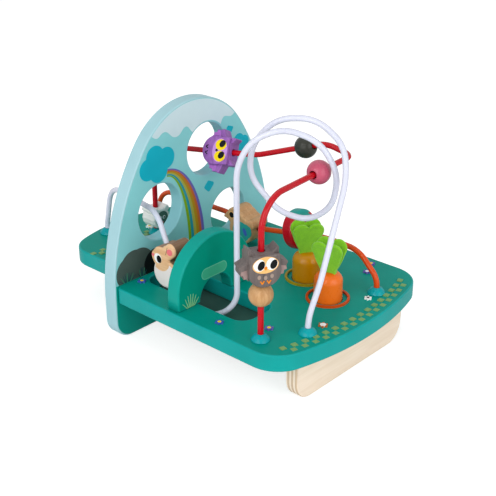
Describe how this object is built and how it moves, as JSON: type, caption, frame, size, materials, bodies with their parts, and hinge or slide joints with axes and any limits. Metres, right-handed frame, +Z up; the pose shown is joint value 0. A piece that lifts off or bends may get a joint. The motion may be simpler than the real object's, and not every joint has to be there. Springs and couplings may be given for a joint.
{
  "type": "wooden bead maze toy",
  "caption": "Wooden bead maze on a raised board: a sky panel with round holes, a tunnel hill, bent coated wires, sliding balls and animal beads, and lift-out carrots with felt leaves.",
  "frame": {"origin": "middle of the whole toy's footprint, on the floor", "axes": "+X along the board from the panel towards the front leg, +Y across the board to the side of the orange wire, +Z up"},
  "size_m": [0.312, 0.2059, 0.2185],
  "materials": {
    "green_board": "satin paint",
    "dark_plate": "matt paint",
    "screw_steel": "plated",
    "sky_board": "satin print",
    "beech": "clear lacquer",
    "birch_ply": "clear lacquer",
    "hill_board": "satin paint",
    "white_coat": "gloss coating",
    "red_coat": "gloss coating",
    "orange_coat": "gloss coating",
    "cap_plastic": "gloss",
    "grey_paint": "satin paint",
    "pink_paint": "gloss paint",
    "black_paint": "gloss paint",
    "purple_paint": "satin paint",
    "tan_wood": "satin print",
    "red_paint": "gloss paint",
    "mouse_wood": "satin print",
    "white_paint": "satin print",
    "mustard_paint": "gloss paint",
    "green_felt": "felt",
    "orange_paint": "gloss paint"
  },
  "bodies": {
    "frame": {"base_board": "green_board", "slot_plate": "dark_plate", "plate_screws": "screw_steel", "sky_panel": "sky_board", "panel_dowels": "beech", "front_leg": "birch_ply", "leg_dowels": "beech", "tunnel_hill": "hill_board", "hill_pins": "beech", "white_wire": "white_coat", "red_wire": "red_coat", "orange_wire": "orange_coat", "wire_caps": "cap_plastic"},
    "natural_ball": {"natural_ball": "beech"},
    "grey_owl": {"grey_owl": "grey_paint"},
    "pink_ball": {"pink_ball": "pink_paint"},
    "black_ball": {"black_ball": "black_paint"},
    "purple_owl": {"purple_owl": "purple_paint"},
    "garden_bird": {"garden_bird": "tan_wood"},
    "red_wheel": {"red_wheel": "red_paint"},
    "mouse": {"mouse": "mouse_wood"},
    "sheep": {"sheep": "white_paint"},
    "mustard_carrot": {"mustard_carrot": "mustard_paint", "mustard_leaf": "green_felt"},
    "orange_carrot": {"orange_carrot": "orange_paint", "orange_leaf": "green_felt"}
  },
  "joints": [
    {"name": "natural_ball_slide", "type": "slide", "parent": "frame", "child": "natural_ball", "axis": [0, 0, 1], "range_m": [-0.023, 0.008]},
    {"name": "grey_owl_spin", "type": "hinge", "parent": "natural_ball", "child": "grey_owl", "pos_m": [0.109, -0.0825, 0.12], "axis": [0, 0, 1], "continuous": true},
    {"name": "pink_ball_slide", "type": "slide", "parent": "frame", "child": "pink_ball", "axis": [-0.0794, 0.9968, 0], "range_m": [-0.038, 0.03]},
    {"name": "black_ball_slide", "type": "slide", "parent": "frame", "child": "black_ball", "axis": [-0.9356, -0.1136, -0.3342], "range_m": [-0.002, 0.036]},
    {"name": "purple_owl_slide", "type": "slide", "parent": "frame", "child": "purple_owl", "axis": [0.9705, 0.226, 0.0842], "range_m": [-0.002, 0.01]},
    {"name": "garden_bird_slide", "type": "slide", "parent": "frame", "child": "garden_bird", "axis": [-0.9916, -0.022, 0.1278], "range_m": [-0.002, 0.012]},
    {"name": "red_wheel_slide", "type": "slide", "parent": "frame", "child": "red_wheel", "axis": [-0.9837, -0.0133, -0.1795], "range_m": [-0.0015, 0.02]},
    {"name": "mouse_slide", "type": "slide", "parent": "frame", "child": "mouse", "axis": [0.5252, -0.1236, -0.842], "range_m": [-0.006, 0.0025]},
    {"name": "sheep_slide", "type": "slide", "parent": "frame", "child": "sheep", "axis": [0, 0, 1], "range_m": [0, 0.03]},
    {"name": "mustard_carrot_lift", "type": "slide", "parent": "frame", "child": "mustard_carrot", "axis": [0, 0, 1], "range_m": [0, 0.04]},
    {"name": "orange_carrot_lift", "type": "slide", "parent": "frame", "child": "orange_carrot", "axis": [0, 0, 1], "range_m": [0, 0.013]}
  ]
}
